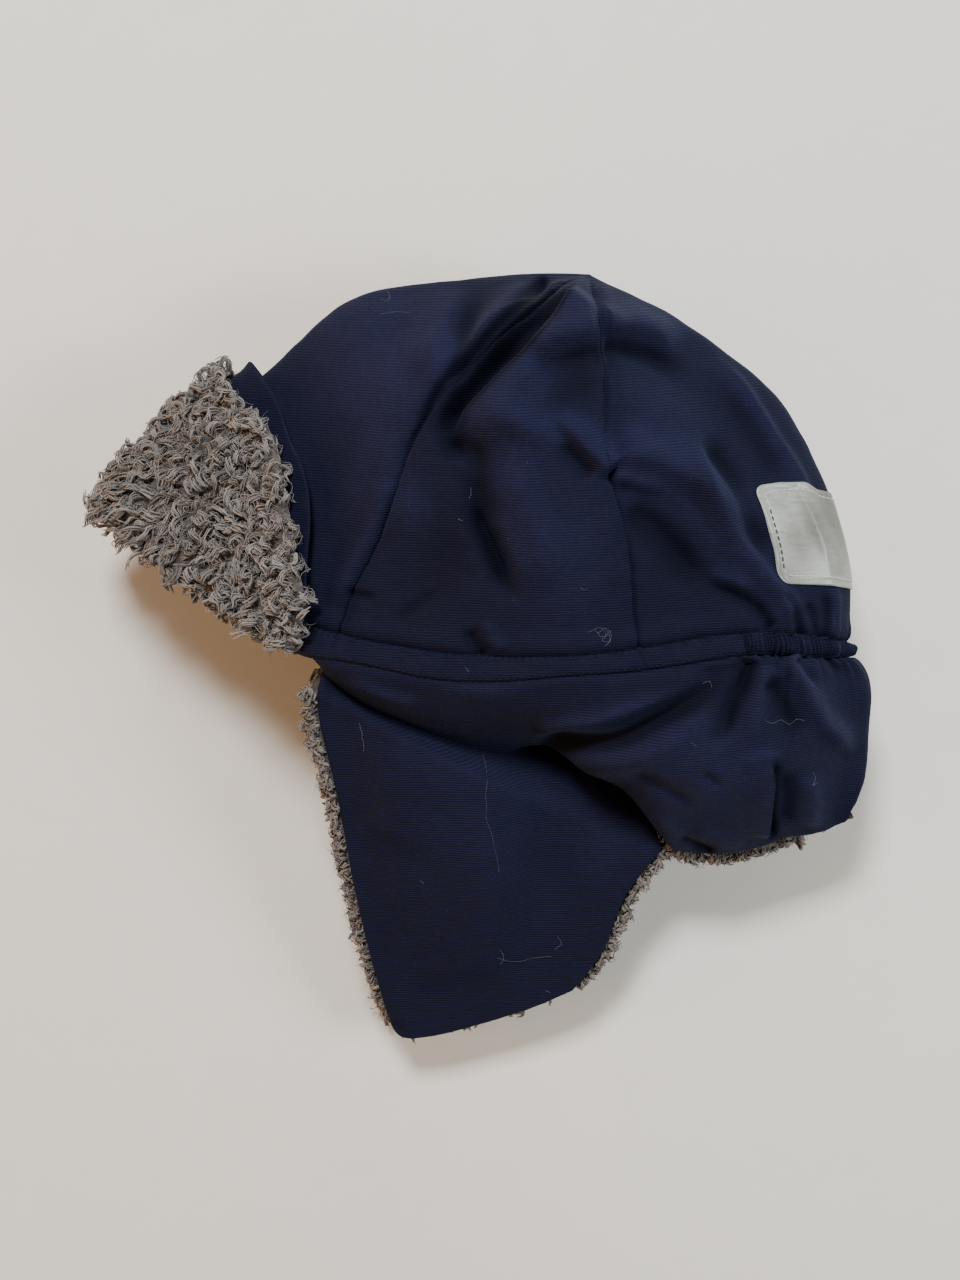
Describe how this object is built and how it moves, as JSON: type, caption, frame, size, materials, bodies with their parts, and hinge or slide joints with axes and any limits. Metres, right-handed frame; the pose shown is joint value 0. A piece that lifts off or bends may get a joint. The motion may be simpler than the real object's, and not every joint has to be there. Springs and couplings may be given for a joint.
{
  "type": "trapper hat",
  "caption": "Pile-lined trapper hat lying on its side: panelled crown, turned-up pile visor, two ear flaps, neck flap and reflective back patch.",
  "frame": {"origin": "centre of the hat's bounding box, on the surface that it lies on", "axes": "the hat lies on its right side: +Z from its right side to its left side, +X towards the back of the head, +Y towards the top of the crown"},
  "size_m": [0.2842, 0.2828, 0.093],
  "materials": {
    "navy_shell": "matte fine-ribbed woven polyester, navy",
    "pile_lining": "short curly pile, warm grey",
    "visor_pile": "long curly pile, warm grey",
    "elastic": "woven elastic tape",
    "navy_thread": "sewing thread, navy",
    "reflective": "retroreflective coated fabric, silver grey",
    "pale_thread": "sewing thread, pale grey"
  },
  "bodies": {
    "hat": {"crown_front_panel": "navy_shell", "crown_side_panel_left": "navy_shell", "crown_side_panel_right": "navy_shell", "crown_back_panel": "navy_shell", "crown_lining_left": "pile_lining", "crown_lining_right": "pile_lining", "casing_left": "navy_shell", "casing_right": "navy_shell", "casing_gathered_back": "navy_shell", "back_elastic": "elastic", "casing_topstitching": "navy_thread", "skirt_shell": "navy_shell", "skirt_lining": "pile_lining", "reflective_patch": "reflective", "patch_stitching": "pale_thread"},
    "ear_flap_left": {"ear_flap_left_shell": "navy_shell", "ear_flap_left_lining": "pile_lining"},
    "ear_flap_right": {"ear_flap_right_shell": "navy_shell", "ear_flap_right_lining": "pile_lining"},
    "visor": {"visor_shell": "navy_shell", "visor_pile": "visor_pile"}
  },
  "joints": [
    {"name": "ear_flap_left_fold", "type": "hinge", "parent": "hat", "child": "ear_flap_left", "pos_m": [-0.05472, -0.00203, 0.066], "axis": [-0.8754, 0.4469, 0.1844], "range_deg": [0, 130]},
    {"name": "ear_flap_right_fold", "type": "hinge", "parent": "hat", "child": "ear_flap_right", "pos_m": [-0.05472, -0.00203, 0], "axis": [0.8906, -0.4547, 0], "range_deg": [0, 130]},
    {"name": "visor_fold", "type": "hinge", "parent": "hat", "child": "visor", "pos_m": [-0.05825, 0.0089, 0.04], "axis": [0, 0, 1], "range_deg": [0, 40]}
  ]
}
